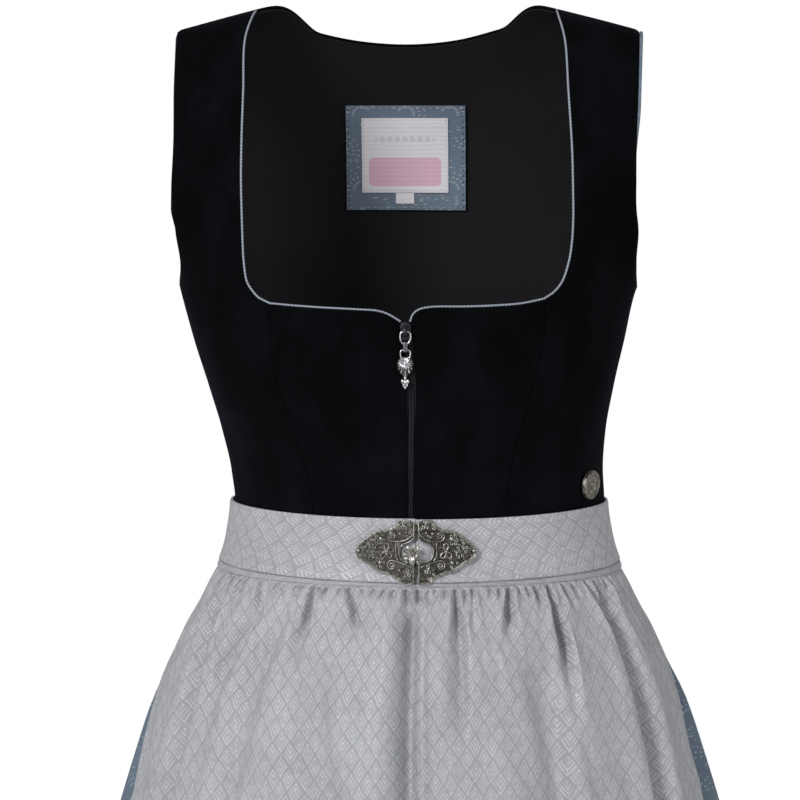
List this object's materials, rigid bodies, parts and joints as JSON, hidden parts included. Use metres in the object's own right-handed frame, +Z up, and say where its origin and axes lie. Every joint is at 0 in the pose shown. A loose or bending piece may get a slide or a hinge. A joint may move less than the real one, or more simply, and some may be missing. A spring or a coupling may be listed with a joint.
{
  "type": "dirndl with apron",
  "caption": "Sleeveless dirndl, worn form: dark velvet bodice with a square neck and a front zip, gathered apron on a clasped band over a full skirt.",
  "frame": {"origin": "midway between the inner ends of the two shoulder seams", "axes": "+Z up, -Y the way the front faces, +X towards the wearer's left side"},
  "size_m": [0.6459, 0.5569, 1.0084],
  "materials": {
    "velvet": "cotton velvet",
    "lining": "matt lining cloth",
    "skirt": "printed cotton",
    "apron": "jacquard satin",
    "band": "jacquard satin",
    "piping": "satin cord",
    "binding": "printed cotton",
    "label": "woven ribbon",
    "zip": "woven tape",
    "slider": "dark lacquer",
    "silver": "silver plate, worn",
    "antique": "antique silver, darkened in its hollows"
  },
  "bodies": {
    "dress": {"bodice_front_centre_left": "velvet", "bodice_front_centre_right": "velvet", "bodice_front_side_left": "velvet", "bodice_front_side_right": "velvet", "bodice_back": "velvet", "back_lining": "lining", "label_patch": "skirt", "label": "label", "size_tab": "label", "neck_piping_left": "piping", "neck_piping_right": "piping", "armhole_binding_left": "binding", "armhole_binding_right": "binding", "waistband": "band", "apron": "apron", "skirt_front": "skirt", "skirt_back": "skirt", "zip_tape": "zip", "zip_slider": "slider", "clasp_left": "antique", "clasp_right": "antique", "badge": "silver"},
    "pull_ring": {"zip_ring": "silver"},
    "pull_pendant": {"zip_link": "slider", "zip_pendant": "silver"}
  },
  "joints": [
    {"name": "ring_swing", "type": "hinge", "parent": "dress", "child": "pull_ring", "pos_m": [0.0029, -0.11636, -0.198], "axis": [-1, 0, 0], "range_deg": [0, 110]},
    {"name": "pendant_swing", "type": "hinge", "parent": "pull_ring", "child": "pull_pendant", "pos_m": [0.0029, -0.11678, -0.20519], "axis": [-1, 0, 0], "range_deg": [0, 60]}
  ]
}
